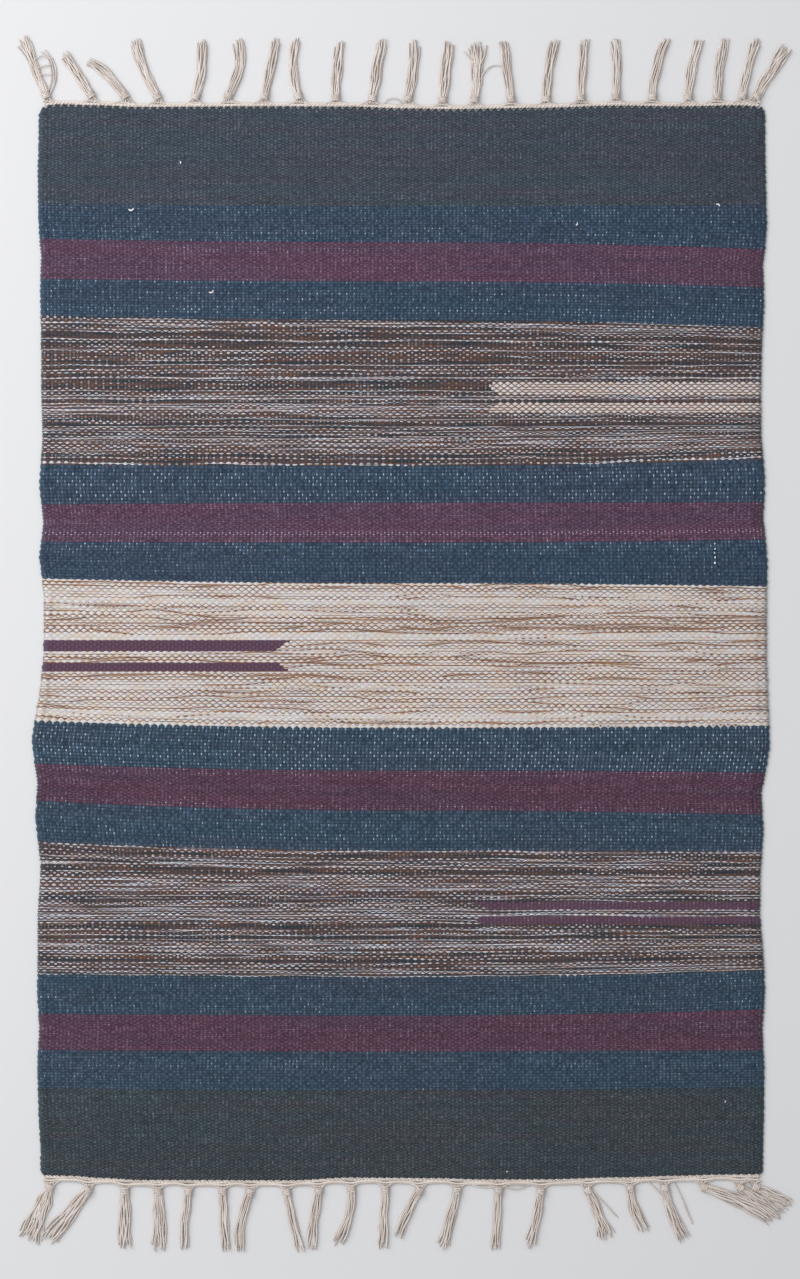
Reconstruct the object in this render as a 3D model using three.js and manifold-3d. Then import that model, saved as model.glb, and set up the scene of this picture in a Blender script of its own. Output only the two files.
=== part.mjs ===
// A flat-woven cotton rug that lies on Z = 0, in millimetres, with its length along Y.
// One sheet of crosswise stripes, a twined cord along each end, and the warp ends
// gathered past the cords into small knots that each hold a tassel.
import * as THREE from 'three';
import { mergeVertices } from 'three/addons/utils/BufferGeometryUtils.js';
import Module from 'manifold-3d';

const wasm = await Module();
wasm.setup();

// Woven sheet
const halfWidth = 300;      // nominal, before the selvedges draw in or bulge
const columnCount = 9;      // steps across the sheet
const edgeRound = 2.5;      // how far in the rounded rim reaches
const rimShare = 0.55;      // height of the rim, as a share of the thickness
const seamStep = 1.5;       // the thickness changes over this on each side of a stripe's seam
const endReach = 85;        // how far into the sheet the bow of its ends is felt
const leftGauge = 242;      // where a seam's left and right drift are given, from the centre line
const rightGauge = 288;

// Cords, knots and tassels
const gap = 0.3;            // between touching pieces
const cordHeight = 2.8;
const cordBevel = 0.6;
const knotPull = { out: 1.2, fade: 2.4 };   // a knot draws the cord's outer side out
const knotHalf = { across: 3.8, along: 3.0 };
const knotOutline = [       // a knot's section as it lies: a rounded top over a flat sole
  { across: 3.4, up: 0 }, { across: 3.8, up: 1.4 }, { across: 3.2, up: 3.3 },
  { across: 1.5, up: 4.4 },
];
const strandGap = 0.4;
const strandHeights = [2.3, 1.8];
const strandSteps = { straight: 2, bent: 3 };
const shorter = { everyOther: 0.05, outermost: 0.02 };   // shares of a tassel's length
const straightBow = 2;      // a tassel whose middle is off the line by less counts as straight
const neckWidth = 6.2;      // width of the bundle where it leaves the knot

const thickness = { charcoal: 2.6, blue: 3.0, purple: 2.9, melange: 3.1, cream: 3.2 };

// Stripes from the far end to the near end. left and right: how far the selvedge stands
// outside the nominal side at the row's middle. driftLeft and driftRight: how far the
// row's near seam runs off towards the far end at the two gauges.
const rows = [
  { yarn: 'charcoal', length: 40.6, left: 1.0, right: 0.8, driftLeft: 0, driftRight: 0 },
  { yarn: 'charcoal', length: 39.1, left: 1.8, right: 1.2, driftLeft: 2.1, driftRight: 2.2 },
  { yarn: 'blue', length: 31.6, left: 1.4, right: 2.2, driftLeft: 1.9, driftRight: -5.6 },
  { yarn: 'purple', length: 27.7, left: -0.9, right: -1.2, driftLeft: 1.2, driftRight: -4.3 },
  { yarn: 'blue', length: 34.4, left: -0.3, right: 0, driftLeft: 2.4, driftRight: -6.3 },
  { yarn: 'melange', length: 40.6, left: -0.8, right: -2.0, driftLeft: 0, driftRight: 0 },
  { yarn: 'melange', length: 40.6, left: -1.2, right: -2.6, driftLeft: 0, driftRight: 0 },
  { yarn: 'melange', length: 38.9, left: -2.0, right: -2.6, driftLeft: 0.9, driftRight: 5.8 },
  { yarn: 'blue', length: 33.8, left: 0.6, right: 0.6, driftLeft: -0.9, driftRight: 0.4 },
  { yarn: 'purple', length: 29.9, left: -2.9, right: -0.8, driftLeft: 0.2, driftRight: 2.8 },
  { yarn: 'blue', length: 34.2, left: 0.6, right: 2.6, driftLeft: 2.8, driftRight: -2.4 },
  { yarn: 'cream', length: 39.8, left: -3.3, right: 2.0, driftLeft: 0, driftRight: 0 },
  { yarn: 'cream', length: 39.8, left: -3.0, right: 2.0, driftLeft: 0, driftRight: 0 },
  { yarn: 'cream', length: 39.5, left: 1.0, right: 3.2, driftLeft: 3.7, driftRight: 2 },
  { yarn: 'blue', length: 38.3, left: 6.8, right: 4.6, driftLeft: 3.6, driftRight: -1.6 },
  { yarn: 'purple', length: 30.1, left: 2.0, right: -2.4, driftLeft: 5.2, driftRight: -3.4 },
  { yarn: 'blue', length: 36.0, left: 3.8, right: -0.6, driftLeft: 4.9, driftRight: -0.9 },
  { yarn: 'melange', length: 34.0, left: -0.5, right: -3.0, driftLeft: 0, driftRight: 0 },
  { yarn: 'melange', length: 34.8, left: 1.8, right: -3.6, driftLeft: 0, driftRight: 0 },
  { yarn: 'melange', length: 33.7, left: 2.0, right: -1.0, driftLeft: 1.4, driftRight: 5 },
  { yarn: 'blue', length: 34.2, left: 2.2, right: 0.6, driftLeft: 1, driftRight: 4.7 },
  { yarn: 'purple', length: 27.2, left: 0.4, right: -1.4, driftLeft: 0.8, driftRight: 0.9 },
  { yarn: 'blue', length: 34.6, left: 2.2, right: 0, driftLeft: 1.2, driftRight: 2.1 },
  { yarn: 'charcoal', length: 36.5, left: 1.2, right: -0.2, driftLeft: 0, driftRight: 0 },
  { yarn: 'charcoal', length: 35.2, left: -0.6, right: -1.0, driftLeft: 0, driftRight: 0 },
];

// The bow of the two ends: out is how far an end stands outside its nominal line.
const endBows = {
  far: [
    { across: -300, out: 0.5 }, { across: -284, out: 1.8 }, { across: -254, out: 1.0 },
    { across: -217, out: -0.4 }, { across: -110, out: 0.2 }, { across: -43, out: -0.1 },
    { across: 0, out: -1.5 }, { across: 40, out: -2.2 }, { across: 114, out: -1.1 },
    { across: 178, out: 0.8 }, { across: 230, out: 0.2 }, { across: 280, out: 1.0 },
    { across: 300, out: -0.2 },
  ],
  near: [
    { across: -300, out: -2.2 }, { across: -275, out: -1.8 }, { across: -250, out: 0 },
    { across: -217, out: 1.7 }, { across: -93, out: 2.0 }, { across: -43, out: -0.3 },
    { across: 30, out: 0.2 }, { across: 65, out: 1.2 }, { across: 114, out: 1.2 },
    { across: 181, out: -0.5 }, { across: 230, out: -1.9 }, { across: 264, out: -2.8 },
    { across: 300, out: -3.0 },
  ],
};

const cordWidth = { far: 4.0, near: 5.2 };

// Tassels from left to right. root: where the knot is, across. lean: how far the tip is
// drawn sideways. reach: how far the tip is past the knot. bow and rise: how far the middle
// is off the straight line, sideways and outwards. belly and tip: how wide the bundle is at
// its middle and at its open end.
const tassels = {
  far: [
    { root: -295, lean: -19, reach: 48, bow: 0, rise: 0, belly: 7.8, tip: 14, strands: 7 },
    { root: -258, lean: -22, reach: 34, bow: 0, rise: 0, belly: 8.2, tip: 9, strands: 5 },
    { root: -230, lean: -31, reach: 28, bow: -1.5, rise: 6, belly: 8.4, tip: 7, strands: 5 },
    { root: -203, lean: -18, reach: 47, bow: -2.5, rise: 0, belly: 8.2, tip: 9.5, strands: 5 },
    { root: -171, lean: 5.5, reach: 48, bow: 2.5, rise: 0, belly: 8.4, tip: 8, strands: 5 },
    { root: -144, lean: 8, reach: 47, bow: 5, rise: 0, belly: 8, tip: 8, strands: 5 },
    { root: -114, lean: 10, reach: 48, bow: 0, rise: 0, belly: 7.8, tip: 8, strands: 5 },
    { root: -86, lean: -1.5, reach: 48, bow: -3.5, rise: 0, belly: 7.2, tip: 8, strands: 5 },
    { root: -55, lean: 4, reach: 47, bow: -1, rise: 0, belly: 8.4, tip: 8, strands: 5 },
    { root: -24.5, lean: 7.5, reach: 49, bow: 0, rise: 0, belly: 8.8, tip: 8.5, strands: 5 },
    { root: 5, lean: 4.5, reach: 48, bow: 1.5, rise: 0, belly: 8.4, tip: 8.5, strands: 5 },
    { root: 33.5, lean: 5, reach: 48, bow: 0, rise: 0, belly: 9.2, tip: 10, strands: 5 },
    { root: 60, lean: 1, reach: 47, bow: 1.5, rise: 0, belly: 8.4, tip: 16, strands: 6 },
    { root: 90, lean: -7, reach: 48, bow: 0.5, rise: 0, belly: 7.4, tip: 8, strands: 5 },
    { root: 119.5, lean: 7, reach: 49, bow: -1.5, rise: 0, belly: 7.8, tip: 8, strands: 5 },
    { root: 148, lean: 3.5, reach: 48, bow: -0.5, rise: 0, belly: 7.4, tip: 8, strands: 5 },
    { root: 177, lean: -1, reach: 48, bow: 1.5, rise: 0, belly: 7.4, tip: 8.5, strands: 5 },
    { root: 207.5, lean: 12, reach: 49, bow: -2.4, rise: 0, belly: 8, tip: 8, strands: 5 },
    { root: 237, lean: 10, reach: 48, bow: -1.4, rise: 0, belly: 8, tip: 8, strands: 5 },
    { root: 261, lean: 6, reach: 49, bow: -1, rise: 0, belly: 8, tip: 7.5, strands: 5 },
    { root: 282, lean: 12, reach: 47, bow: -1, rise: 0, belly: 7.2, tip: 7.5, strands: 5 },
    { root: 294, lean: 25, reach: 40, bow: -1, rise: 0, belly: 8.2, tip: 12, strands: 6 },
  ],
  near: [
    { root: -292, lean: -22, reach: 43, bow: 0, rise: 0, belly: 13, tip: 20, strands: 8 },
    { root: -260, lean: -33, reach: 42, bow: 0, rise: 0, belly: 9.6, tip: 12, strands: 5 },
    { root: -229.5, lean: -1, reach: 49, bow: 0, rise: 0, belly: 10.4, tip: 11.4, strands: 5 },
    { root: -202, lean: 0.5, reach: 49, bow: 0.5, rise: 0, belly: 10.4, tip: 11, strands: 5 },
    { root: -177, lean: -4, reach: 48, bow: -1, rise: 0, belly: 8, tip: 8, strands: 5 },
    { root: -148.5, lean: 3.5, reach: 49, bow: -0.8, rise: 0, belly: 8, tip: 8.5, strands: 5 },
    { root: -126, lean: -8.5, reach: 48, bow: -3, rise: 0, belly: 8, tip: 7.5, strands: 5 },
    { root: -95.5, lean: 11, reach: 49, bow: -0.5, rise: 0, belly: 7.2, tip: 8, strands: 5 },
    { root: -69, lean: -6, reach: 48, bow: -0.8, rise: 0, belly: 8.4, tip: 8, strands: 5 },
    { root: -42, lean: -12.5, reach: 47, bow: 4, rise: 0, belly: 7.8, tip: 10, strands: 5 },
    { root: -14, lean: -2.5, reach: 49, bow: 0, rise: 0, belly: 7.8, tip: 8.5, strands: 5 },
    { root: 14, lean: -18, reach: 38, bow: -1, rise: 0, belly: 7.6, tip: 7.5, strands: 5 },
    { root: 45.5, lean: -13, reach: 48, bow: 0.5, rise: 0, belly: 8.2, tip: 11.5, strands: 5 },
    { root: 80, lean: -2.5, reach: 49, bow: 0, rise: 0, belly: 7.8, tip: 8, strands: 5 },
    { root: 115, lean: -10.5, reach: 47, bow: 1.3, rise: 0, belly: 7.4, tip: 8.5, strands: 5 },
    { root: 154, lean: 15, reach: 40, bow: 1, rise: 0, belly: 8.6, tip: 15.5, strands: 6 },
    { root: 189, lean: 12.5, reach: 36, bow: -2.7, rise: 0, belly: 8.4, tip: 8, strands: 5 },
    { root: 217.5, lean: 16, reach: 43, bow: -2, rise: 0, belly: 9.4, tip: 13, strands: 6 },
    { root: 250, lean: 57, reach: 28, bow: 0, rise: -3, belly: 7.8, tip: 9, strands: 5 },
    { root: 280, lean: 34, reach: 23, bow: 0, rise: 0, belly: 7.8, tip: 7, strands: 5 },
    { root: 293, lean: 29, reach: 14, bow: 0, rise: 0, belly: 7.8, tip: 7, strands: 5 },
  ],
};

const sheetLength = rows.reduce((sum, row) => sum + row.length, 0);
const endLine = { far: sheetLength / 2, near: -sheetLength / 2 };
const outward = { far: 1, near: -1 };

const yarnMaterials = {
  field: { color: 0x4b5563, roughness: 0.95 },
  cord: { color: 0xccc2bc, roughness: 0.92 },
  tassel: { color: 0xc8b9ac, roughness: 0.93 },
};

function yarnMaterial(name) {
  return new THREE.MeshStandardMaterial({ ...yarnMaterials[name], metalness: 0 });
}

// Reads a table with one named column as the key and another as the value.
function readTable(table, key, value, at) {
  if (at <= table[0][key]) return table[0][value];
  for (let i = 1; i < table.length; i += 1) {
    const low = table[i - 1];
    const high = table[i];
    if (at <= high[key]) {
      const share = (at - low[key]) / (high[key] - low[key]);
      return THREE.MathUtils.lerp(low[value], high[value], THREE.MathUtils.smoothstep(share, 0, 1));
    }
  }
  return table[table.length - 1][value];
}

// Lines across the sheet, each with its place, its sides, its drift and its thickness.
function sheetStations() {
  const stations = [];
  let start = endLine.far;
  rows.forEach((row, i) => {
    const before = rows[i - 1] ?? row;
    const after = rows[i + 1] ?? row;
    const thick = thickness[row.yarn];
    const add = (along, left, right, driftLeft, driftRight, height) => {
      stations.push({ along, left, right, driftLeft, driftRight, height });
    };
    const farDrift = i === 0 ? { driftLeft: 0, driftRight: 0 } : before;
    const farSides = [(row.left + before.left) / 2, (row.right + before.right) / 2];
    const nearSides = [(row.left + after.left) / 2, (row.right + after.right) / 2];
    if (i === 0) {
      add(start, row.left - edgeRound, row.right - edgeRound, 0, 0, thick * rimShare);
      add(start - edgeRound, row.left, row.right, 0, 0, thick);
    } else if (before.yarn !== row.yarn) {
      add(start - seamStep, ...farSides, farDrift.driftLeft, farDrift.driftRight, thick);
    }
    const middle = start - row.length / 2;
    const middleLeft = (farDrift.driftLeft + row.driftLeft) / 2;
    const middleRight = (farDrift.driftRight + row.driftRight) / 2;
    add(middle, row.left, row.right, middleLeft, middleRight, thick);
    start -= row.length;
    if (after === row) {
      add(start + edgeRound, row.left, row.right, 0, 0, thick);
      add(start, row.left - edgeRound, row.right - edgeRound, 0, 0, thick * rimShare);
    } else if (after.yarn !== row.yarn) {
      add(start + seamStep, ...nearSides, row.driftLeft, row.driftRight, thick);
    }
  });
  return stations;
}

function columnAcross(column, left, right) {
  const inner = columnCount - 2;
  if (column === 0) return left;
  if (column === columnCount) return right;
  return THREE.MathUtils.lerp(left + edgeRound, right - edgeRound, (column - 1) / inner);
}

function seamDrift(across, station) {
  const left = station.driftLeft * (across / leftGauge) ** 2;
  const right = station.driftRight * (across / rightGauge) ** 2;
  return across < 0 ? left : right;
}

function endBow(side, across, along) {
  const depth = Math.abs(endLine[side] - along);
  const felt = THREE.MathUtils.clamp(1 - depth / endReach, 0, 1);
  return outward[side] * felt * readTable(endBows[side], 'across', 'out', across);
}

// The sheet starts as a box with a grid on its faces, whose points then go to their places.
function wovenSheet() {
  const stations = sheetStations();
  const lineCount = stations.length - 1;
  const grid = new THREE.BoxGeometry(2, 2, 2, columnCount, lineCount, 1);
  grid.deleteAttribute('normal');
  grid.deleteAttribute('uv');
  const geometry = mergeVertices(grid);
  const position = geometry.getAttribute('position');
  for (let i = 0; i < position.count; i += 1) {
    const column = Math.round((position.getX(i) + 1) / 2 * columnCount);
    const station = stations[Math.round((1 - position.getY(i)) / 2 * lineCount)];
    const across = columnAcross(column, -halfWidth - station.left, halfWidth + station.right);
    const onRim = column === 0 || column === columnCount;
    const rim = Math.min(station.height, thickness.charcoal * rimShare);
    const top = onRim ? rim : station.height;
    const bow = endBow('far', across, station.along) + endBow('near', across, station.along);
    const along = station.along + seamDrift(across, station) + bow;
    position.setXYZ(i, across, along, position.getZ(i) > 0 ? top : 0);
  }
  return geometry;
}

// How far the outer side of an end cord stands from the centre of the rug, at a place across.
function cordOuter(side, across) {
  const inner = Math.abs(endLine[side]) + readTable(endBows[side], 'across', 'out', across) + gap;
  const nearest = Math.min(...tassels[side].map((tassel) => Math.abs(tassel.root - across)));
  const share = (knotHalf.across + knotPull.fade - nearest) / knotPull.fade;
  return inner + cordWidth[side] + knotPull.out * THREE.MathUtils.clamp(share, 0, 1);
}

// The sheet's corners and columns along one end, which the cord's inner side follows.
function endColumns(side) {
  const row = side === 'far' ? rows[0] : rows[rows.length - 1];
  const left = -halfWidth - row.left + edgeRound;
  const right = halfWidth + row.right - edgeRound;
  const places = [];
  for (let column = 1; column < columnCount; column += 1) {
    places.push(columnAcross(column, left, right));
  }
  return places;
}

function endCord(side) {
  const innerPlaces = endColumns(side);
  const left = innerPlaces[0];
  const right = innerPlaces[innerPlaces.length - 1];
  const roots = tassels[side].map((tassel) => tassel.root);
  const near = knotHalf.across;
  const wide = knotHalf.across + knotPull.fade;
  const pulled = roots.flatMap((root) => [root - wide, root - near, root + near, root + wide]);
  const outerPlaces = [left, ...pulled.filter((across) => across > left && across < right), right];
  outerPlaces.sort((a, b) => a - b);
  const outer = outerPlaces.map((across) => new THREE.Vector2(across, cordOuter(side, across)));
  const inner = innerPlaces.map((across) => {
    const out = readTable(endBows[side], 'across', 'out', across);
    return new THREE.Vector2(across, Math.abs(endLine[side]) + out + gap);
  });
  const outline = [...inner, ...outer.reverse()];
  const turned = outline.map((point) => new THREE.Vector2(point.x, point.y * outward[side]));
  const cord = new THREE.ExtrudeGeometry(new THREE.Shape(turned), {
    depth: cordHeight - 2 * cordBevel,
    bevelSize: cordBevel,
    bevelThickness: cordBevel,
    bevelOffset: -cordBevel,
    bevelSegments: 1,
  });
  return cord.translate(0, 0, cordBevel);
}

function startDirection(tassel) {
  const across = tassel.lean / 2 + 2 * tassel.bow;
  const along = tassel.reach / 2 + 2 * tassel.rise;
  return new THREE.Vector2(across, along).normalize();
}

// How far a knot's middle is from the centre of the rug. One on the slant takes more room.
function knotAlong(side, tassel) {
  const start = startDirection(tassel);
  const room = knotHalf.along * start.y + knotHalf.across * Math.abs(start.x);
  return cordOuter(side, tassel.root) + gap + room;
}

// The line down the middle of a tassel, from its knot to its tip.
function tasselPath(side, tassel) {
  const start = knotAlong(side, tassel);
  const root = new THREE.Vector2(tassel.root, start);
  const tip = new THREE.Vector2(tassel.root + tassel.lean, start + tassel.reach);
  const middle = root.clone().add(tip).multiplyScalar(0.5);
  const pull = new THREE.Vector2(2 * tassel.bow, 2 * tassel.rise);
  return new THREE.QuadraticBezierCurve(root, middle.add(pull), tip);
}

function bundleWidth(share, tassel) {
  if (share < 0.5) return THREE.MathUtils.lerp(neckWidth, tassel.belly, share * 2);
  return THREE.MathUtils.lerp(tassel.belly, tassel.tip, share * 2 - 1);
}

// One strand lies flat on the floor: its outline seen from above, raised to its height.
function strand(side, path, tassel, index) {
  const place = (index + 0.5) / tassel.strands - 0.5;
  const length = 1 - shorter.everyOther * (index % 2) - shorter.outermost * 2 * Math.abs(place);
  const isStraight = Math.hypot(tassel.bow, tassel.rise) < straightBow;
  const steps = isStraight ? strandSteps.straight : strandSteps.bent;
  const leftSide = [];
  const rightSide = [];
  for (let step = 0; step <= steps; step += 1) {
    const share = step / steps * length;
    const point = path.getPoint(share);
    const tangent = path.getTangent(share);
    const across = new THREE.Vector2(tangent.y, -tangent.x);
    const width = bundleWidth(share, tassel);
    const half = (width / tassel.strands - strandGap) / 2;
    leftSide.push(point.clone().addScaledVector(across, place * width - half));
    rightSide.push(point.clone().addScaledVector(across, place * width + half));
  }
  const outline = [...leftSide, ...rightSide.reverse()];
  const turned = outline.map((point) => new THREE.Vector2(point.x, point.y * outward[side]));
  const depth = strandHeights[index % strandHeights.length];
  return new THREE.ExtrudeGeometry(new THREE.Shape(turned), { depth, bevelEnabled: false });
}

// A rounded lump across the roots of the strands, in line with the tassel's start.
function knot(side, tassel) {
  const right = knotOutline.map((point) => new THREE.Vector2(point.across, point.up));
  const left = knotOutline.map((point) => new THREE.Vector2(-point.across, point.up)).reverse();
  const lump = new THREE.ExtrudeGeometry(new THREE.Shape([...right, ...left]), {
    depth: 2 * knotHalf.along,
    bevelEnabled: false,
  });
  lump.translate(0, 0, -knotHalf.along);
  lump.rotateX(Math.PI / 2);
  const start = startDirection(tassel);
  lump.rotateZ(outward[side] * Math.atan2(-start.x, start.y));
  return lump.translate(tassel.root, knotAlong(side, tassel) * outward[side], 0);
}

function toSolid(geometry) {
  const bare = geometry.clone();
  bare.deleteAttribute('normal');
  bare.deleteAttribute('uv');
  const merged = mergeVertices(bare);
  return new wasm.Manifold(new wasm.Mesh({
    numProp: 3,
    vertProperties: Float32Array.from(merged.getAttribute('position').array),
    triVerts: Uint32Array.from(merged.getIndex().array),
  }));
}

function toGeometry(solid) {
  const mesh = solid.getMesh();
  const geometry = new THREE.BufferGeometry();
  geometry.setAttribute('position', new THREE.BufferAttribute(Float32Array.from(mesh.vertProperties), 3));
  geometry.setIndex(new THREE.BufferAttribute(Uint32Array.from(mesh.triVerts), 1));
  return geometry;
}

// The knot and its strands in one solid, joined only inside the knot.
function knottedTassel(side, tassel) {
  const path = tasselPath(side, tassel);
  let solid = toSolid(knot(side, tassel));
  for (let index = 0; index < tassel.strands; index += 1) {
    solid = solid.add(toSolid(strand(side, path, tassel, index)));
  }
  return toGeometry(solid);
}

function addMesh(group, name, geometry, materialName) {
  const mesh = new THREE.Mesh(geometry, yarnMaterial(materialName));
  mesh.name = name;
  group.add(mesh);
}

const rug = new THREE.Group();
addMesh(rug, 'woven_field', wovenSheet(), 'field');
for (const side of ['far', 'near']) {
  addMesh(rug, `end_cord_${side}`, endCord(side), 'cord');
  tassels[side].forEach((tassel, i) => {
    const number = String(i + 1).padStart(2, '0');
    addMesh(rug, `tassel_${side}_${number}`, knottedTassel(side, tassel), 'tassel');
  });
}

// The origin is under the middle of the whole rug's box.
const box = new THREE.Box3().setFromObject(rug);
const centre = box.getCenter(new THREE.Vector3());
rug.position.set(-centre.x, -centre.y, 0);

export default rug;
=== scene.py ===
import math
import random

import bpy
import numpy as np
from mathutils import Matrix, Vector


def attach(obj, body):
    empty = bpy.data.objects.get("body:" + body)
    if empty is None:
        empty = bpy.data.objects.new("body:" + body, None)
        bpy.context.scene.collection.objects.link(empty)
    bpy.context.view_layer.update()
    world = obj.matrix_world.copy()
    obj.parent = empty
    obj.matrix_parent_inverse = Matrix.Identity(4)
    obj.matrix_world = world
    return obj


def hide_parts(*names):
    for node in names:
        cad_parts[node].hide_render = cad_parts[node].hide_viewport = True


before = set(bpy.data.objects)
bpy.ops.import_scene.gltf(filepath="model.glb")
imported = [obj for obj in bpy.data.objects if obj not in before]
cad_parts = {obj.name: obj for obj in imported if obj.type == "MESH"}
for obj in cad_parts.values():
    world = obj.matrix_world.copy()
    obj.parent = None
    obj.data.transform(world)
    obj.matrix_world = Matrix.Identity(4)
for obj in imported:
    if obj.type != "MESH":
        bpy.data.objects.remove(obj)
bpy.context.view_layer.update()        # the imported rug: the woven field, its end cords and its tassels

mm = 0.001
shift = (-0.373, 0.696)      # from the rug's own centre lines to the frame's origin, in mm

# Rug outline, in millimetres from its own centre lines, as the solids have it
rug = {
    "halfWidth": 300.0,
    "warps": 196,
    "leftGauge": 242.0,      # where a seam's drift is given
    "rightGauge": 288.0,
    "endReach": 85.0,        # how far in the bow of the ends is felt
    "gap": 0.3,
    "cordWidth": {"far": 4.0, "near": 5.2},
    "knotAcross": 3.8,
    "knotAlong": 3.0,
    "knotPull": 1.2,         # a knot draws the cord's outer side out
    "knotFade": 2.4,
}
thickness = {"charcoal": 2.6, "blue": 3.0, "purple": 2.9, "melange": 3.1, "cream": 3.2}

# yarn, length, picks, left and right bulge of the selvedge, left and right drift of the near seam
stripeRows = [
    ("charcoal", 40.6, 34, 1.0, 0.8, 0, 0),
    ("charcoal", 39.1, 34, 1.8, 1.2, 2.1, 2.2),
    ("blue", 31.6, 15, 1.4, 2.2, 1.9, -5.6),
    ("purple", 27.7, 19, -0.9, -1.2, 1.2, -4.3),
    ("blue", 34.4, 15, -0.3, 0, 2.4, -6.3),
    ("melange", 40.6, 20, -0.8, -2.0, 0, 0),
    ("melange", 40.6, 19, -1.2, -2.6, 0, 0),
    ("melange", 38.9, 19, -2.0, -2.6, 0.9, 5.8),
    ("blue", 33.8, 12, 0.6, 0.6, -0.9, 0.4),
    ("purple", 29.9, 19, -2.9, -0.8, 0.2, 2.8),
    ("blue", 34.2, 13, 0.6, 2.6, 2.8, -2.4),
    ("cream", 39.8, 18, -3.3, 2.0, 0, 0),
    ("cream", 39.8, 17, -3.0, 2.0, 0, 0),
    ("cream", 39.5, 17, 1.0, 3.2, 3.7, 2),
    ("blue", 38.3, 14, 6.8, 4.6, 3.6, -1.6),
    ("purple", 30.1, 20, 2.0, -2.4, 5.2, -3.4),
    ("blue", 36.0, 13, 3.8, -0.6, 4.9, -0.9),
    ("melange", 34.0, 17, -0.5, -3.0, 0, 0),
    ("melange", 34.8, 17, 1.8, -3.6, 0, 0),
    ("melange", 33.7, 17, 2.0, -1.0, 1.4, 5),
    ("blue", 34.2, 16, 2.2, 0.6, 1, 4.7),
    ("purple", 27.2, 18, 0.4, -1.4, 0.8, 0.9),
    ("blue", 34.6, 15, 2.2, 0, 1.2, 2.1),
    ("charcoal", 36.5, 28, 1.2, -0.2, 0, 0),
    ("charcoal", 35.2, 28, -0.6, -1.0, 0, 0),
]
pickTotal = sum(row[2] for row in stripeRows)
halfLength = sum(row[1] for row in stripeRows) / 2

# across, out
endBows = {
    "far": [(-300, 0.5), (-284, 1.8), (-254, 1.0), (-217, -0.4), (-110, 0.2), (-43, -0.1), (0, -1.5),
            (40, -2.2), (114, -1.1), (178, 0.8), (230, 0.2), (280, 1.0), (300, -0.2)],
    "near": [(-300, -2.2), (-275, -1.8), (-250, 0), (-217, 1.7), (-93, 2.0), (-43, -0.3), (30, 0.2),
             (65, 1.2), (114, 1.2), (181, -0.5), (230, -1.9), (264, -2.8), (300, -3.0)],
}

# root, lean, reach, bow, rise, width at the middle and at the tip
tassels = {
    "far": [
        (-295, -19, 48, 0, 0, 7, 13), (-258, -22, 34, 0, 0, 8.4, 8), (-230, -31, 28, -1.5, 6, 8.6, 7.5),
        (-203, -18, 47, -2.5, 0, 8.4, 10.5), (-171, 5.5, 48, 2.5, 0, 8.6, 9), (-144, 8, 47, 5, 0, 8, 8.2),
        (-114, 10, 48, 0, 0, 7.8, 8), (-86, -1.5, 48, -3.5, 0, 7.2, 7), (-55, 4, 47, -1, 0, 8.6, 7.4),
        (-24.5, 7.5, 49, 0, 0, 9.2, 8.2), (5, 4.5, 48, 1.5, 0, 8.6, 8), (33.5, 5, 48, 0, 0, 9.6, 8.6),
        (60, 1, 47, 1.5, 0, 8.4, 13), (90, -7, 48, 0.5, 0, 7.4, 7), (119.5, 7, 49, -1.5, 0, 7.8, 7.6),
        (148, 3.5, 48, -0.5, 0, 7.4, 7.4), (177, -1, 48, 1.5, 0, 7.4, 8), (207.5, 12, 49, -2.4, 0, 8, 7.4),
        (237, 10, 48, -1.4, 0, 8, 7.2), (261, 6, 49, -1, 0, 8.4, 7.2), (282, 12, 47, -1, 0, 7, 7.4),
        (294, 25, 40, -1, 0, 9.6, 12.5),
    ],
    "near": [
        (-292, -18, 43, 0, 0, 14.5, 23), (-260, -33, 42, 0, 0, 11, 14), (-229.5, -1, 49, 0, 0, 10.4, 11.4),
        (-202, 0.5, 49, 0.5, 0, 10.4, 11), (-177, -4, 48, -1, 0, 8, 8.6), (-148.5, 3.5, 49, -0.8, 0, 8, 8.8),
        (-126, -8.5, 48, -3, 0, 8, 8), (-95.5, 11, 49, -0.5, 0, 7, 8.8), (-69, -6, 48, -0.8, 0, 8.4, 9.2),
        (-42, -12.5, 47, 4, 0, 7.6, 10.6), (-14, -2.5, 49, 0, 0, 7.6, 9.4), (14, -18, 38, -1, 0, 7.6, 8),
        (45.5, -13, 48, 0.5, 0, 8.2, 11.5), (80, -2.5, 49, 0, 0, 7.6, 7.6), (115, -10.5, 47, 1.3, 0, 7.2, 8.6),
        (154, 15, 40, 1, 0, 8.6, 15.5), (189, 12.5, 36, -2.7, 0, 8.6, 9), (217.5, 16, 43, -2, 0, 9.4, 13),
        (250, 57, 28, 0, -3, 11.5, 11), (280, 34, 23, 0, 0, 10.5, 9.5), (293, 29, 14, 0, 0, 8.8, 8.8),
    ],
}
outward = {"far": 1, "near": -1}


# Reading the tables

def smooth(share):
    share = np.clip(share, 0, 1)
    return share * share * (3 - 2 * share)


def readBow(side, across):
    places = np.array([row[0] for row in endBows[side]], float)
    outs = np.array([row[1] for row in endBows[side]], float)
    index = np.clip(np.searchsorted(places, across) - 1, 0, len(places) - 2)
    share = smooth((across - places[index]) / (places[index + 1] - places[index]))
    return outs[index] + (outs[index + 1] - outs[index]) * share


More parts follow.
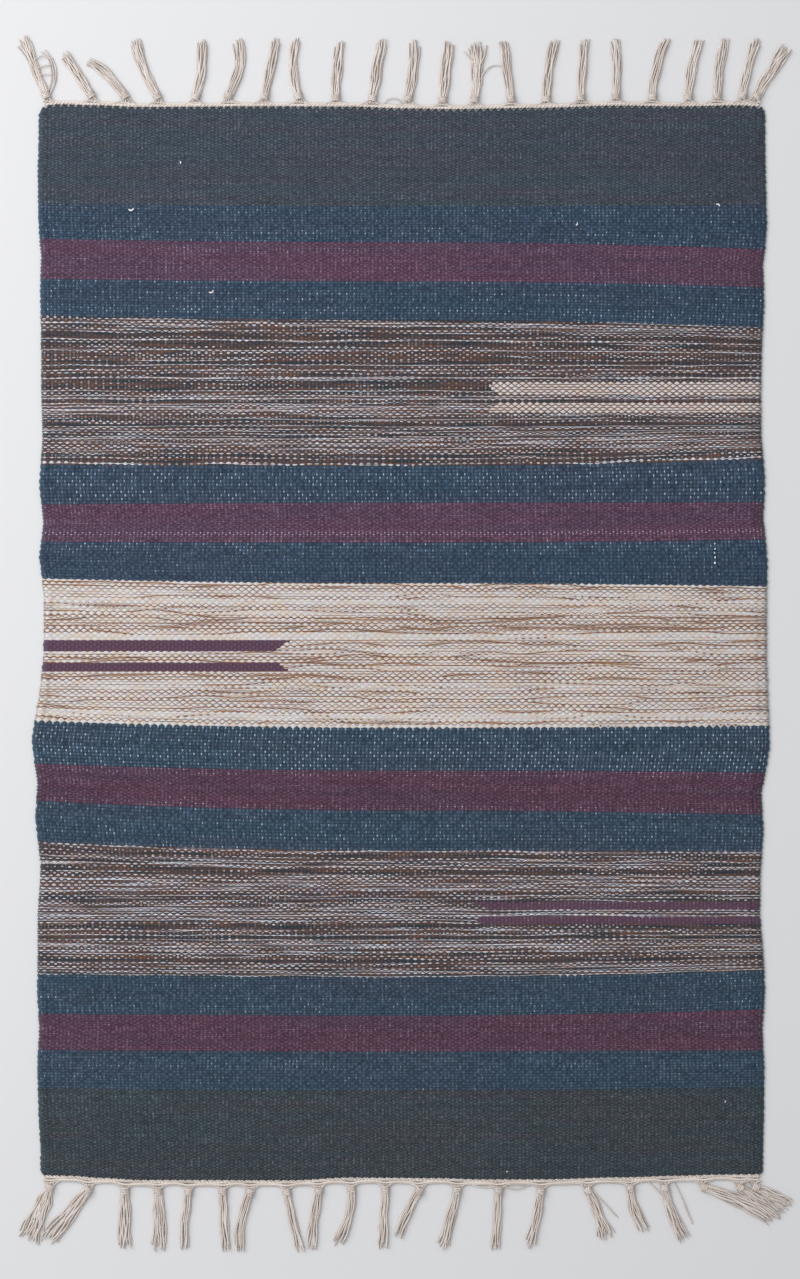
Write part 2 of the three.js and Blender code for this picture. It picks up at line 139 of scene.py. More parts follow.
def sheetLines():
    # At the top, middle and seam of each row: its pick, place along, bulge and drift at both sides
    lines, along, pick, drift = [], halfLength, 0, [0, 0]
    for index, (_, length, picks, left, right, *ownDrift) in enumerate(stripeRows):
        after = stripeRows[min(index + 1, len(stripeRows) - 1)]
        if not index:
            lines.append((pick, along, left, right, 0, 0))
        lines.append((pick + picks / 2, along - length / 2, left, right,
                      (drift[0] + ownDrift[0]) / 2, (drift[1] + ownDrift[1]) / 2))
        along, pick, drift = along - length, pick + picks, ownDrift
        lines.append((pick, along, (left + after[3]) / 2, (right + after[4]) / 2, *drift))
    return np.array(lines, float)


sheetTable = sheetLines()


def sheetPlace(warp, pick):
    # Across and along, in mm, of a place given in warps and picks
    along, left, right, driftLeft, driftRight = (
        np.interp(pick, sheetTable[:, 0], sheetTable[:, column]) for column in range(1, 6))
    lowest, highest = -rug["halfWidth"] - left, rug["halfWidth"] + right
    across = lowest + (highest - lowest) * warp / rug["warps"]
    drift = np.where(across < 0, driftLeft * (across / rug["leftGauge"]) ** 2,
                     driftRight * (across / rug["rightGauge"]) ** 2)
    for side in ("far", "near"):
        depth = halfLength - outward[side] * along
        felt = np.clip(1 - depth / rug["endReach"], 0, 1)
        drift = drift + outward[side] * felt * readBow(side, across)
    return across, along + drift


def makeObject(name, mesh):
    piece = bpy.data.objects.new(name, mesh)
    bpy.context.scene.collection.objects.link(piece)
    return piece


# Node helpers, alike for shader and geometry trees

openTrees = []           # the one being built is the last


def connect(value, socket):
    if isinstance(value, bpy.types.NodeSocket):
        openTrees[-1].links.new(value, socket)
    elif value is not None:
        socket.default_value = value


def addNode(kind, inputs=None, **settings):
    node = openTrees[-1].nodes.new(kind)
    for name, value in settings.items():
        setattr(node, name, value)
    for key, value in (inputs or {}).items():
        connect(value, node.inputs[key])
    return node


def calc(operation, *values, clamp=False):
    node = addNode("ShaderNodeMath", operation=operation, use_clamp=clamp)
    for value, socket in zip(values, node.inputs):
        connect(value, socket)
    return node.outputs[0]


def plus(first, second):
    return calc("ADD", first, second)


def minus(first, second):
    return calc("SUBTRACT", first, second)


def times(first, second):
    return calc("MULTIPLY", first, second)


def divided(first, second):
    return calc("DIVIDE", first, second)


def scaled(value, gain, base=0.0, clamp=False):
    return calc("MULTIPLY_ADD", value, gain, base, clamp=clamp)


def ramped(value, low, high, toLow=0.0, toHigh=1.0):
    node = addNode("ShaderNodeMapRange", {0: value, 1: low, 2: high, 3: toLow, 4: toHigh},
                   interpolation_type="SMOOTHSTEP")
    return node.outputs[0]


def vector(x=0.0, y=0.0, z=0.0):
    return addNode("ShaderNodeCombineXYZ", {0: x, 1: y, 2: z}).outputs[0]


def parts(place):
    return addNode("ShaderNodeSeparateXYZ", {0: place}).outputs


def vectorCalc(operation, first, second, third=None):
    node = addNode("ShaderNodeVectorMath", operation=operation)
    for value, socket in zip((first, second, third), node.inputs):
        connect(value, socket)
    return node.outputs[0]


def noise(place, scale=1.0, detail=2.0, roughness=0.5):
    return addNode("ShaderNodeTexNoise", {
        "Vector": place, "Scale": scale, "Detail": detail, "Roughness": roughness}).outputs["Fac"]


def whiteNoise(x, y, z):
    return addNode("ShaderNodeTexWhiteNoise", {0: vector(x, y, z)}).outputs[0]


def mixed(factor, first, second, blend="MIX"):
    node = addNode("ShaderNodeMix", data_type="RGBA", blend_type=blend)
    for value, number in ((factor, 0), (first, 6), (second, 7)):
        connect(value, node.inputs[number])
    return node.outputs[2]


def shaded(colour, amount):
    # The colour times a number
    node = addNode("ShaderNodeVectorMath", operation="SCALE")
    connect(colour[:3] if isinstance(colour, tuple) else colour, node.inputs[0])
    connect(amount, node.inputs["Scale"])
    return node.outputs[0]


def newGroup(name, inputs, outputs, kind="Shader", outputType="Float"):
    # An input is given by its default value, or else by its type
    tree = bpy.data.node_groups.new(name, kind + "NodeTree")
    for label, value in inputs.items():
        typeName = value if isinstance(value, str) else type(value).__name__.capitalize()
        socket = tree.interface.new_socket(label, in_out="INPUT", socket_type="NodeSocket" + typeName)
        if typeName != value:
            socket.default_value = value
    for label in outputs:
        tree.interface.new_socket(label, in_out="OUTPUT", socket_type="NodeSocket" + outputType)
    openTrees.append(tree)
    return tree.nodes.new("NodeGroupInput").outputs, tree.nodes.new("NodeGroupOutput").inputs


def finishGroup(out, **values):
    for name, value in values.items():
        connect(value, out[name])
    return openTrees.pop()


def useGroup(group, inputs):
    node = addNode("ShaderNodeGroup", node_tree=group)
    for name, value in inputs.items():
        connect(value, node.inputs[name])
    return node.outputs


def newMaterial(name, roughness, specular):
    material = bpy.data.materials.new(name)
    material.use_nodes = True
    surface = material.node_tree.nodes["Principled BSDF"].inputs
    surface["Roughness"].default_value = roughness
    surface["Specular IOR Level"].default_value = specular
    return material, surface


def plainMaterial(name, colour, roughness):
    material, surface = newMaterial(name, roughness, 0.1)
    surface["Base Color"].default_value = colour
    return material


def startMaterial(name, roughness):
    material, surface = newMaterial(name, roughness, 0.2)
    openTrees.append(material.node_tree)
    return material, surface, addNode("ShaderNodeTexCoord").outputs["Object"]


def finishMaterial(surface, colour, height, strength, distance):
    bump = addNode("ShaderNodeBump", {"Strength": strength, "Distance": distance, "Height": height})
    connect(colour, surface["Base Color"])
    connect(bump.outputs[0], surface["Normal"])
    openTrees.pop()


def linear(red, green, blue):
    # Scene colour of an sRGB colour given from 0 to 255
    values = []
    for channel in (red, green, blue):
        share = channel / 255
        values.append(share / 12.92 if share <= 0.04045 else ((share + 0.055) / 1.055) ** 2.4)
    return (*values, 1.0)


def grey(value):
    return (value, value, value, 1.0)


def rampNode(place, stops, interpolation="LINEAR"):
    node = addNode("ShaderNodeValToRGB", {0: place})
    ramp = node.color_ramp
    ramp.interpolation = interpolation
    for index, (start, colour) in enumerate(stops):
        element = ramp.elements[index] if index < 2 else ramp.elements.new(start)
        element.position = start
        element.color = colour
    return node.outputs[0]


# Woven field

cloth = {
    "relief": 0.22,          # height of a pick where it rides over a warp, in mm
    "unevenRelief": 0.05,
    "sideLoop": 0.35,        # how far a turn of the yarn stands out at the selvedge
    "unevenLoop": 0.5,
    "endLoop": {"far": 1.7, "near": 1.1},    # and a loop of the outermost pick at an end
    "innerLoop": -0.6,       # where that pick turns back between two loops, as a share of one
    "corners": {("far", -1): 7.5, ("far", 1): 3.5, ("near", -1): 3.0, ("near", 1): 2.0},    # their radii
    "sideDrop": (0.45, 0.86),    # height of the outermost warps, as a share of the thickness
    "endDrop": 0.95,         # and of the outermost picks
    "seamReach": 0.8,        # picks over which the thickness changes at a seam
    "underColumns": 28,
    "underRows": 9,
    "flatSize": (0.600, 0.885),
}


def rowPicks():
    # Picks at which the mesh has a row of points: one in each pick, or one in two of the fine ones
    places, start = [0.0], 0
    for yarn, _, picks, *_ in stripeRows:
        step = 2 if yarn == "charcoal" else 1
        places += [start + step * (index + 0.5) for index in range(picks // step)]
        start += picks
    return np.array(places + [float(pickTotal)])


def topHeights(warps, picks):
    seams, heights, start = [], [], 0
    for yarn, _, count, *_ in stripeRows:
        seams += [start + cloth["seamReach"], start + count - cloth["seamReach"]]
        heights += [thickness[yarn]] * 2
        start += count
    body = np.interp(picks, seams, heights)
    inset = np.minimum(warps, rug["warps"] - warps)
    share = np.interp(inset, [0, 1, 2], [*cloth["sideDrop"], 1.0])
    ends = np.interp(np.minimum(picks, pickTotal - picks), [0, 1], [cloth["endDrop"], 1.0])
    return body * share * ends


def roundCorners(across, along, sides):
    # Draws the square at each corner onto a quarter circle
    for (end, side), radius in cloth["corners"].items():
        edge = sides[0] if side < 0 else sides[1]
        inside = radius - side * (edge - across)
        rim = halfLength + readBow(end, across)
        outer = radius - (rim - outward[end] * along)
        here = (inside > 0) & (outer > 0)
        share = np.where(here, np.maximum(inside, outer) / np.maximum(np.hypot(inside, outer), 0.001), 1)
        across = across - np.where(here, side * inside * (1 - share), 0)
        along = along - np.where(here, outward[end] * outer * (1 - share), 0)
    return across, along


def gridLoop(lines, columns, whole=(True, True, True, True)):
    # Places round a rectangle of the grid, with those between the corners only on its whole sides
    corners = [(lines[0], columns[0]), (lines[0], columns[1]), (lines[1], columns[1]), (lines[1], columns[0])]
    places = []
    for start, end, full in zip(corners, corners[1:] + corners[:1], whole):
        run = (end[0] - start[0], end[1] - start[1])
        length = max(abs(run[0]), abs(run[1]))
        places += [(start[0] + run[0] * step // length, start[1] + run[1] * step // length)
                   for step in range(length if full else 1)]
    return places


def topPoints(row, column, pick, warp):
    # The upper side: each point's place and height in mm, with the weave's relief and its loops
    draw = np.random.default_rng(11)
    last, side = row.max(), column.max()
    across, along = sheetPlace(warp, pick)
    across, along = roundCorners(across, along, (across[:, :1], across[:, -1:]))
    parity = np.where((row + column) % 2, 1.0, -1.0)
    inner = (column > 0) & (column < side) & (row > 0) & (row < last)
    height = topHeights(warp, pick) + cloth["relief"] * parity * inner
    height += draw.normal(0, cloth["unevenRelief"], height.shape) * inner
    turn = cloth["sideLoop"] * (parity + draw.normal(0, cloth["unevenLoop"], parity.shape))
    across += np.where(column == 0, -turn, 0) + np.where(column == side, turn, 0)
    loop = np.where(column % 2, 1.0, cloth["innerLoop"])
    along += np.where(row == 0, cloth["endLoop"]["far"] * loop, 0)
    along -= np.where(row == last, cloth["endLoop"]["near"] * loop, 0)
    return np.stack([across + shift[0], along + shift[1], height], -1)


def wovenMesh():
    picks = rowPicks()
    last, side = len(picks) - 1, rug["warps"]
    row, column = np.meshgrid(np.arange(last + 1), np.arange(side + 1), indexing="ij")
    pick, warp = picks[row], column.astype(float)
    top = topPoints(row, column, pick, warp)
    weave = np.stack([warp, pick, np.zeros_like(pick)], -1)
    index = row * (side + 1) + column
    quads = np.stack([index[:-1, :-1], index[1:, :-1], index[1:, 1:], index[:-1, 1:]], -1).reshape(-1, 4)
    faces = quads.tolist()

    # The underside has the whole rim, and a coarse grid inside it
    keptLines = sorted({*range(0, last, cloth["underRows"]), last})
    keptColumns = sorted({*range(0, side, cloth["underColumns"]), side})
    rim = gridLoop((0, last), (0, side))
    places = sorted({*rim, *((line, place) for line in keptLines for place in keptColumns)})
    under = {place: top[..., 0].size + number for number, place in enumerate(places)}
    lower = np.array([top[place] * (1, 1, 0) for place in places])
    lowerWeave = np.array([weave[place] for place in places])
    for lines in zip(keptLines, keptLines[1:]):
        for columns in zip(keptColumns, keptColumns[1:]):
            onRim = (lines[0] == 0, columns[1] == side, lines[1] == last, columns[0] == 0)
            faces.append([under[place] for place in gridLoop(lines, columns, onRim)])
    for first, second in zip(rim, rim[1:] + rim[:1]):
        faces.append([int(index[first]), int(index[second]), under[second], under[first]])

    mesh = bpy.data.meshes.new("wovenCloth")
    mesh.from_pydata((np.concatenate([top.reshape(-1, 3), lower]) * mm).tolist(), [], faces)
    stored = mesh.attributes.new("weave", "FLOAT_VECTOR", "POINT")
    both = np.concatenate([weave.reshape(-1, 3), lowerWeave])
    stored.data.foreach_set("vector", both.astype(np.float32).ravel())
    mesh.validate()
    flatFaces = len(mesh.polygons) - len(quads)
    mesh.polygons.foreach_set("use_smooth", [True] * len(quads) + [False] * flatFaces)
    mesh.update()
    return mesh


# Field material

weaveLook = {
    # how far the line between two picks sways over a warp, in picks
    "swing": {"charcoal": 0.3, "blue": 0.24, "purple": 0.26, "melange": 0.27, "cream": 0.28},
    "swingLength": 15.0,     # warps over which the swing changes
    "swingRange": (0.33, 0.67, 0.35, 1.45),
    "straightLines": (241, 245, 249, 252),     # at the edges of two inlays, which sway half as far
    "lumpOver": (0.4, 0.6),  # height of a pick over a warp, and half way down beside it
    "bump": (0.8, 0.5 * mm),
    "scales": {"fibre": 2600.0, "blotch": 9.0, "speckle": 1100.0, "grain": 900.0, "groove": 30.0},
    "fibre": (0.3, 0.85),    # shade gained with the noise, and the shade where it is nothing
    "blotch": (0.2, 0.9),
    "grooveAt": 2.4,         # warps in from the selvedge
    # painted shade in the groove
    "grooveShade": (-0.18, 1.0),
    "grooveDepth": -0.6,     # of a pick's height
    "fibreHeight": 0.18,
    # a bluish tone painted along the very edge, and how much of it
    "outermost": linear(96, 128, 138),
    "outermostShare": 0.3,
    "warpTone": linear(212, 218, 228),
    "warpTint": 4.4,         # how bright the yarn's own colour is on a warp that shows
}
yarnColours = {
    "charcoal": [linear(71, 79, 89), linear(67, 75, 81)],      # the far stripe and the near one
    "blue": [linear(59, 76, 95), linear(60, 77, 94)],
    "purple": [linear(96, 71, 90), linear(92, 66, 84)],
    "melange": [linear(70, 66, 70), linear(64, 61, 64)],
    "cream": [linear(214, 207, 203)] * 2,
}
dotLook = {
    "halfWidth": 0.24,       # in warps
    "halfHeight": 0.44,      # in picks
    "region": (16.0, 5.0),   # warps and picks over which the dots grow many or few
    "luck": {"dot": 0.6, "pick": 0.35, "region": 0.8},
    "contrast": (1.5, -1.4),
    # where the painted shade between warps starts and where it is full, in warps from a warp's middle
    "gap": (0.22, 0.5),
}
# From which pick on how much of the warp shows
warpShows = [
    (0, 0.0), (68, 0.3), (70, 0.22), (83, 0.08), (102, 0.25), (117, 0.06), (175, 0.3), (187, 0.14),
    (190, 0.08), (201, 0.78), (203, 0.2), (206, 0.38), (208, 0.12), (219, 0.0), (271, 0.41), (285, 0.25),
    (287, 0.08), (303, 0.26), (305, 0.18), (318, 0.06), (369, 0.19), (385, 0.08), (403, 0.15), (418, 0.0),
]


def bandStarts():
    # The pick at which each band of one yarn starts, and its yarn
    starts, pick = [], 0
    for yarn, _, picks, *_ in stripeRows:
        if not starts or starts[-1][1] != yarn:
            starts.append((pick, yarn))
        pick += picks
    return starts


def bandRamp(place, values):
    # A value by yarn: the first of a pair in the far half, the second in the near one
    return rampNode(place, [(start / pickTotal, values[yarn][int(start >= pickTotal / 2)])
                            for start, yarn in bandStarts()], "CONSTANT")


def swingStops():
    # The line between cream and the next stripe sways as the cream yarn does
    stops, last = [], None
    for start, yarn in bandStarts():
        first = max(start + (last == "cream") - 0.5, 0)
        stops.append((first / pickTotal, grey(weaveLook["swing"][yarn])))
        last = yarn
    return stops


def weaveCellsGroup():
    # Which pick a point is on, and where in it, for picks that sway over and under the warps
    given, out = newGroup("weaveCells", {"Weave": "Vector"}, ["Pick", "Share", "Edge", "Over", "Lump"])
    warpPlace, pickPlace, _ = parts(given["Weave"])
    slowly = divided(warpPlace, weaveLook["swingLength"])

    def overWarp(number):
        return calc("COSINE", times(plus(warpPlace, number), math.pi))

    def lineAt(number):
        swing = rampNode(divided(number, float(pickTotal)), swingStops(), "CONSTANT")
        uneven = noise(vector(slowly, times(number, 5.3), 4.0))
        amount = times(swing, ramped(uneven, *weaveLook["swingRange"]))
        for line in weaveLook["straightLines"]:
            straight = calc("COMPARE", number, float(line), 0.1)
            amount = times(amount, scaled(straight, -0.5, 1.0))
        return minus(number, times(amount, overWarp(number)))

    nearest = calc("ROUND", pickPlace)
    above = calc("GREATER_THAN", pickPlace, lineAt(nearest))
    pick = plus(minus(nearest, 1.0), above)
    low, high = lineAt(pick), lineAt(plus(pick, 1.0))
    width = minus(high, low)
    share = divided(minus(pickPlace, low), width)
    over = overWarp(pick)
    edge = times(calc("MINIMUM", share, minus(1.0, share)), width)
    centred = scaled(share, 2.0, -1.0)
    square = times(centred, centred)
    dome = calc("SQRT", calc("MAXIMUM", minus(1.0, square), 0.0))
    lump = times(dome, scaled(over, *weaveLook["lumpOver"]))
    return finishGroup(out, Pick=pick, Share=share, Edge=edge, Over=over, Lump=lump)


def streakGroup():
    # Noise that runs along one pick and starts anew in the next
    given, out = newGroup("pickStreaks", {
        "Along": 0.0, "Pick": 0.0, "Length": 10.0, "Seed": 0.0, "Detail": 2.0}, ["Value"])
    place = vector(divided(given["Along"], given["Length"]), times(given["Pick"], 7.31), given["Seed"])
    return finishGroup(out, Value=noise(place, 1.0, given["Detail"], 0.55))


def dotGroup():
    # Mask of the pale warp that shows where it crosses over a pick, and a mask for the painted shade between
    # warps
    given, out = newGroup("warpDots", {"Weave": "Vector", "Strength": 0.5}, ["Mask", "Gap"])
    warpPlace, pickPlace, _ = parts(given["Weave"])
    warp = calc("ROUND", warpPlace)
    beside = minus(warpPlace, warp)
    inPick = minus(pickPlace, 0.5)
    odd = calc("FLOORED_MODULO", plus(warp, 1.0), 2.0)
    pairs = calc("ROUND", divided(minus(inPick, odd), 2.0))
    pick = scaled(pairs, 2.0, odd)
    above = minus(inPick, pick)
    side, height = (
        calc("POWER", calc("ABSOLUTE", divided(off, dotLook[half])), 2.0)
        for off, half in ((beside, "halfWidth"), (above, "halfHeight")))
    shape = ramped(plus(side, height), 1.0, 0.1)
    warps, picks = dotLook["region"]
    region = noise(vector(divided(warp, warps), divided(pick, picks), 2.0), 1.0, 3.0)
    luck = given["Strength"]
    for name, value in (("dot", whiteNoise(warp, pick, 3.0)),
                        ("pick", whiteNoise(0.0, pick, 8.0)), ("region", region)):
        luck = scaled(value, dotLook["luck"][name], luck)
    strong = calc("POWER", scaled(luck, *dotLook["contrast"], clamp=True), 1.5)
    return finishGroup(out, Mask=times(shape, strong), Gap=ramped(calc("ABSOLUTE", beside), *dotLook["gap"]))


def strandGroup():
    # Mask of one thin strand in a pick; Dashes shows it mostly where the pick rides over a warp
    given, out = newGroup("strandMask", {
        "Share": 0.5, "Over": 0.0, "Wander": 0.5, "Reach": 2.2, "Half Width": 0.16, "Shown": 0.5,
        "Dashes": 0.2, "Limit": 0.5}, ["Mask"])
    place = scaled(minus(given["Wander"], 0.5), given["Reach"], 0.5)
    place = calc("MINIMUM", calc("MAXIMUM", place, 0.0), 1.0)
    off = calc("ABSOLUTE", minus(given["Share"], place))
    thin = ramped(divided(off, given["Half Width"]), 1.2, 0.5)
    shown = scaled(given["Over"], given["Dashes"], given["Shown"])
    there = ramped(minus(shown, given["Limit"]), -0.05, 0.06)
    return finishGroup(out, Mask=times(thin, there))


# Inlaid stripes: picks just before and past them, the warp where the longest pick ends, which pick that
# is, how far the others stay behind it for each pick between, the side they run to and their yarn
inlays = {
    "creamUpper": (142.5, 147.5, 121.4, 144.2, 1.0, 1, "cream"),
    "creamLower": (150.5, 154.5, 120.7, 153.0, 1.25, 1, "cream"),
    "plumUpper": (240.5, 244.5, 66.8, 241.0, 1.2, -1, "plum"),
    "plumLower": (248.5, 251.5, 66.8, 251.0, 1.2, -1, "plum"),
    "plumThird": (338.5, 341.5, 117.4, 339.0, 2.3, 1, "plum"),
    "plumFourth": (344.5, 347.5, 118.8, 346.0, 1.0, 1, "plum"),
}
inlayLook = {
    "plum": linear(101, 75, 93),
    # painted shade by a pick's height
    "plumLump": (0.3, 0.76),
    # painted shade between warps
    "plumGap": (-0.25, 1.0),
    # painted shade in the crease along the edge of each inlaid cream pick
    "creamEdge": (0.4, 0.12),
    "creamCrease": linear(122, 98, 92),
}


def inlayGroup():
    # Side 1 runs on to the right edge, -1 to the left one
    given, out = newGroup("inlayMask", {
        "Along": 0.0, "Pick": 0.0, "First": 0.0, "Last": 0.0, "End": 0.0, "Longest": 0.0, "Behind": 0.0,
        "Side": 1.0}, ["Mask"])
    inside = times(calc("GREATER_THAN", given["Pick"], given["First"]),
                   calc("LESS_THAN", given["Pick"], given["Last"]))
    away = calc("ABSOLUTE", minus(given["Pick"], given["Longest"]))
    back = scaled(whiteNoise(given["First"], given["Pick"], 5.0), 0.5, times(away, given["Behind"]))
    past = times(minus(given["Along"], given["End"]), given["Side"])
    return finishGroup(out, Mask=times(inside, calc("GREATER_THAN", past, back)))


# Shades are given as what is gained with the value, and what there is without it. Four numbers are from
# where to where in the value, and the shades there. Streaks are a length in warps, a seed and their detail
plainLook = {
    "drift": (60.0, 9.0),    # warps and picks over which the dye drifts
    "tints": ((0.93, 1.02, 1.03, 1.0), (1.08, 0.98, 0.99, 1.0)),     # bluish and reddish
    # painted shade by a pick's height: lighter on its top, darker at its foot
    "lump": (0.42, 0.74),
    "streakRun": (9.0, 1.5, 3.0),
    "streak": (0.5, 0.75),
    "pick": (0.08, 0.96),
    # painted shade between warps
    "gap": (-0.15, 1.0),
    # painted shade in the crease along a pick's edge
    "edge": (0.02, 0.3, 0.76, 1.05),
    "single": (0.3, 0.7, 0.74, 1.26),
    "speckle": (0.3, 0.7, 0.76, 1.24),
}
melangeLook = {
    "tones": [(0.32, linear(50, 60, 68)), (0.4, linear(70, 64, 66)), (0.48, linear(86, 73, 74)),
              (0.55, linear(107, 79, 66)), (0.61, linear(84, 76, 82)), (0.71, linear(116, 107, 114))],
    "toneStreak": (15.0, 4.0, 4.0),
    "tonePick": 0.24,        # how far the tone moves from pick to pick
    # painted shade by a pick's height: lighter on its top, darker at its foot
    "lump": (0.5, 0.74),
    # painted shade between warps
    "gap": (-0.25, 1.0),
    "pale": (12.0, 70.0, 0.4, 0.6, linear(220, 225, 236), linear(216, 207, 210)),
    "brightStreak": (12.0, 33.0, 3.0),
    "bright": (0.3, 0.62, 0.4, 1.0),
    # where a pale strand shows, how it wanders, its half width and its dashes
    "strands": [((20.0, 21.0), (20.0, 24.0), 0.16, 0.13), ((34.0, 27.0), (30.0, 29.0), 0.14, 0.05)],
    "shown": (0.4, 0.9, -0.05),
    "limit": 0.66,
}
creamLook = {
    "yarn": (6.0, 40.0, 0.44, 0.6, linear(217, 213, 213), linear(217, 204, 193), 3.0),   # bleached and raw
    # painted shade by a pick's height
    "lump": (0.14, 0.9),
    # painted shade in the crease along the edge of some picks, and its tones
    "crease": (0.38, 0.12),
    "creaseStreak": (16.0, 44.0),
    "creaseShown": (0.45, 0.75, -0.1),
    "creaseShare": (0.38, 0.6, 0.08, 0.85),
    "creaseTone": (8.0, 47.0, 0.4, 0.6, linear(112, 92, 88), linear(132, 92, 74)),
    "brownStreak": (24.0, 54.0),
    "brownShown": (0.45, 0.8, -0.13),
    "brownTone": (5.0, 60.0, 0.35, 0.65, linear(112, 74, 54), linear(156, 112, 78)),
    "brownWander": (45.0, 50.0),
    "brownStrand": {"Limit": 0.44, "Half Width": 0.26, "Dashes": 0.07, "Reach": 9.0},
    "brownShare": 0.95,
}


def fieldMaterial():
    material, surface, here = startMaterial("fieldYarn", 0.95)
    weave = addNode("ShaderNodeAttribute", attribute_name="weave").outputs["Vector"]
    along = parts(weave)[0]
    cells = useGroup(weaveCellsGroup(), {"Weave": weave})
    pick, over, edge, lump, share = (cells[name] for name in ("Pick", "Over", "Edge", "Lump", "Share"))
    place = divided(plus(pick, 0.5), float(pickTotal))
    base = bandRamp(place, yarnColours)
    isMelange, isCream = (
        bandRamp(place, {yarn: [grey(float(yarn == kind))] * 2 for yarn in yarnColours})
        for kind in ("melange", "cream"))
    warpShown = rampNode(place, [(start / pickTotal, grey(shown)) for start, shown in warpShows], "CONSTANT")
    dots = useGroup(dotGroup(), {"Weave": weave, "Strength": warpShown})
    perPick, otherPick = (whiteNoise(seed, pick, 0.0) for seed in (1.0, 6.0))
    scales = weaveLook["scales"]
    fibre = noise(here, scales["fibre"], 2.0, 0.6)
    blotch = noise(here, scales["blotch"], 3.0, 0.6)
    streaks, strands = streakGroup(), strandGroup()

    def streak(length, seed, detail=2.0, number=pick):
        return useGroup(streaks, {
            "Along": along, "Pick": number, "Length": length, "Seed": seed, "Detail": detail})[0]

    def streaky(length, seed, low, high, first, second, detail=2.0):
        return mixed(ramped(streak(length, seed, detail), low, high), first, second)

    def likely(luck, length, seed, weight, gain, start):
        return scaled(luck, weight, scaled(streak(length, seed, 3.0), gain, start))

    def strand(wander, shown, **values):
        return useGroup(strands, {
            "Share": share, "Over": over, "Wander": wander, "Reach": 2.2, "Shown": shown, **values})[0]

    # Plain yarns, whose dye drifts a little from pick to pick between bluish and reddish, with painted shade at
    # the foot of each pick, between warps and in the crease along each pick's edge
    single = noise(vector(along, times(pick, 3.7), 9.0), 1.1)
    speckle = noise(here, scales["speckle"])
    drift = noise(vector(divided(along, plainLook["drift"][0]),
                         divided(pick, plainLook["drift"][1]), 12.0), 1.0, 3.0)
    tint = mixed(ramped(drift, 0.35, 0.65), *plainLook["tints"])
    plain = mixed(1.0, base, tint, "MULTIPLY")
    # painted shade by each pick's height and between warps, with streaks and a tone for each pick
    for name, value in (("lump", lump), ("streak", streak(*plainLook["streakRun"])), ("pick", perPick),
                        ("gap", dots["Gap"])):
        plain = shaded(plain, scaled(value, *plainLook[name]))
    # painted shade in the crease along a pick's edge, with uneven yarn and speckles
    for name, value in (("edge", edge), ("single", single), ("speckle", speckle)):
        plain = shaded(plain, ramped(value, *plainLook[name]))

    # Mixed yarns: teal, grey, rust and lilac in streaks, and two pale strands that come and go, with painted
    # shade at the foot of each pick and between warps
    ply = scaled(calc("GREATER_THAN", share, 0.5), 0.5, pick)
    tone = streak(*melangeLook["toneStreak"], ply)
    tone = scaled(perPick, melangeLook["tonePick"], minus(tone, melangeLook["tonePick"] / 2))
    melange = rampNode(tone, melangeLook["tones"])
    # painted shade by each pick's height and between warps
    for name, value in (("lump", lump), ("gap", dots["Gap"])):
        melange = shaded(melange, scaled(value, *melangeLook[name]))
    first, second = (
        strand(streak(*wander), likely(luck, *where, *melangeLook["shown"]),
               **{"Limit": melangeLook["limit"], "Half Width": halfWidth, "Dashes": dashes})
        for luck, (where, wander, halfWidth, dashes) in zip((perPick, otherPick), melangeLook["strands"]))
    bright = ramped(streak(*melangeLook["brightStreak"]), *melangeLook["bright"])
    melange = mixed(times(calc("MAXIMUM", first, second), bright), melange, streaky(*melangeLook["pale"]))

    # Cream yarn, with a thin brown strand that wanders across each pick, and painted shade at the foot of each
    # pick and in the crease between some picks
    # painted shade by each pick's height
    cream = shaded(streaky(*creamLook["yarn"]), scaled(lump, *creamLook["lump"]))
    # painted shade in the crease along the edge of each inlaid cream pick
    tight = mixed(ramped(edge, *inlayLook["creamEdge"]), cream, inlayLook["creamCrease"])
    # painted shade in the crease along the edge of some picks
    creased = likely(otherPick, *creamLook["creaseStreak"], *creamLook["creaseShown"])
    creased = ramped(creased, *creamLook["creaseShare"])
    creased = times(ramped(edge, *creamLook["crease"]), creased)
    cream = mixed(creased, cream, streaky(*creamLook["creaseTone"]))
    brown = likely(perPick, *creamLook["brownStreak"], *creamLook["brownShown"])
    brown = strand(streak(*creamLook["brownWander"]), brown, **creamLook["brownStrand"])
    cream = mixed(times(brown, creamLook["brownShare"]), cream, streaky(*creamLook["brownTone"]))

    colour = mixed(isMelange, plain, melange)
    colour = mixed(isCream, colour, cream)

    # Inlays, with painted shade at the foot of each pick, between warps and in the creases of the cream ones
    inlaid = {"cream": 0.0, "plum": 0.0}
    group = inlayGroup()
    for first, last, end, longest, behind, side, yarn in inlays.values():
        mask = useGroup(group, {
            "Along": along, "Pick": pick, "First": first, "Last": last, "End": end,
            "Longest": longest, "Behind": behind, "Side": float(side)})[0]
        inlaid[yarn] = calc("MAXIMUM", inlaid[yarn], mask)
    # painted shade by each pick's height and between warps
    plum = shaded(inlayLook["plum"], scaled(lump, *inlayLook["plumLump"]))
    plum = shaded(plum, scaled(dots["Gap"], *inlayLook["plumGap"]))
    colour = mixed(inlaid["cream"], colour, tight)
    colour = mixed(inlaid["plum"], colour, plum)

    # Warp showing through, tinted by the yarn beside it
    noCream = minus(1.0, isCream)
    warpTone = mixed(0.5, weaveLook["warpTone"], shaded(base, weaveLook["warpTint"]))
    colour = mixed(times(dots["Mask"], noCream), colour, warpTone)

